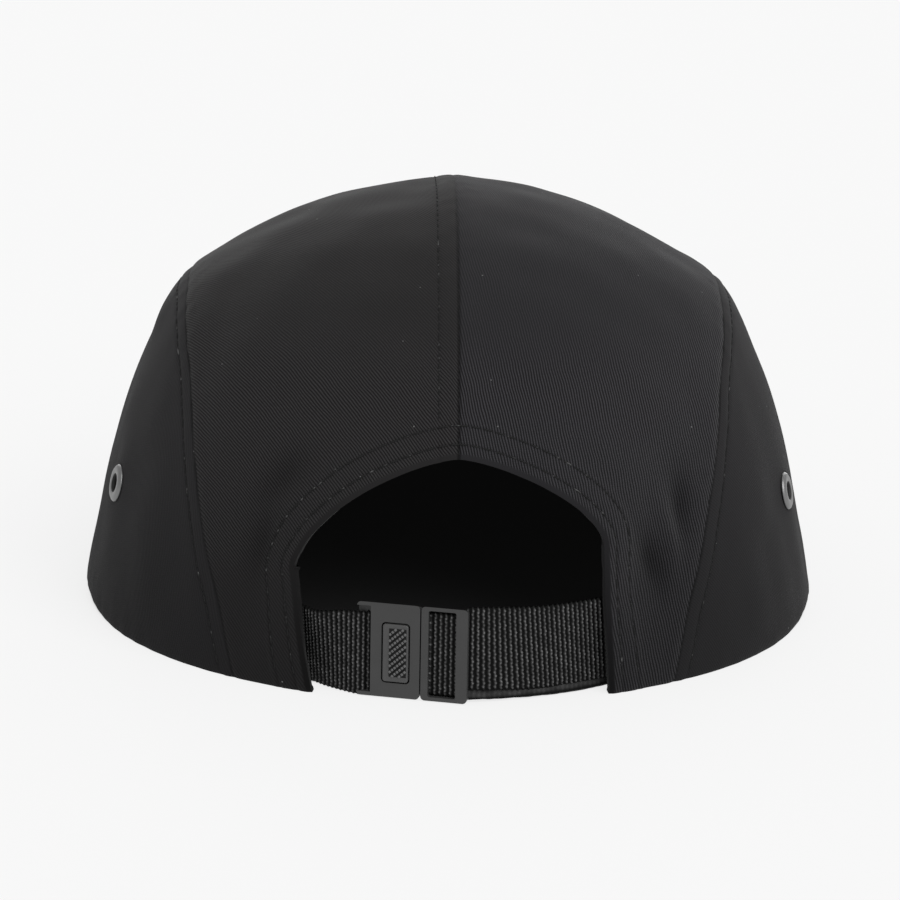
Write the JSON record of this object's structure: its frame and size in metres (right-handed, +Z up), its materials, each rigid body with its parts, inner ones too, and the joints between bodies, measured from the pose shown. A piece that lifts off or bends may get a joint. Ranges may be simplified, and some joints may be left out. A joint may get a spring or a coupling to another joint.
{
  "type": "five panel cap",
  "caption": "Low soft cap of twill panels with a short flat peak, and a webbing strap with a slide buckle across the arched opening at the back.",
  "frame": {"origin": "middle of the footprint of the cap, on the surface that it rests on", "axes": "+Z up, +Y to the back of the cap where the strap is, the peak points to -Y, +X is the left of the wearer"},
  "size_m": [0.1826, 0.2634, 0.1034],
  "materials": {
    "twill": "black cotton twill, matt",
    "webbing": "black ribbed nylon webbing",
    "eyelet_metal": "dark gunmetal, satin",
    "buckle_plastic": "black moulded plastic, fine matt grain"
  },
  "bodies": {
    "root": {"front_panel": "twill", "side_panel_left": "twill", "side_panel_right": "twill", "back_panel_left": "twill", "back_panel_right": "twill", "peak": "twill", "eyelet_left": "eyelet_metal", "eyelet_right": "eyelet_metal", "strap_left": "webbing", "strap_right": "webbing", "strap_tail": "webbing", "buckle_plate": "buckle_plastic", "buckle_frame": "buckle_plastic", "release_button": "buckle_plastic"}
  },
  "joints": []
}
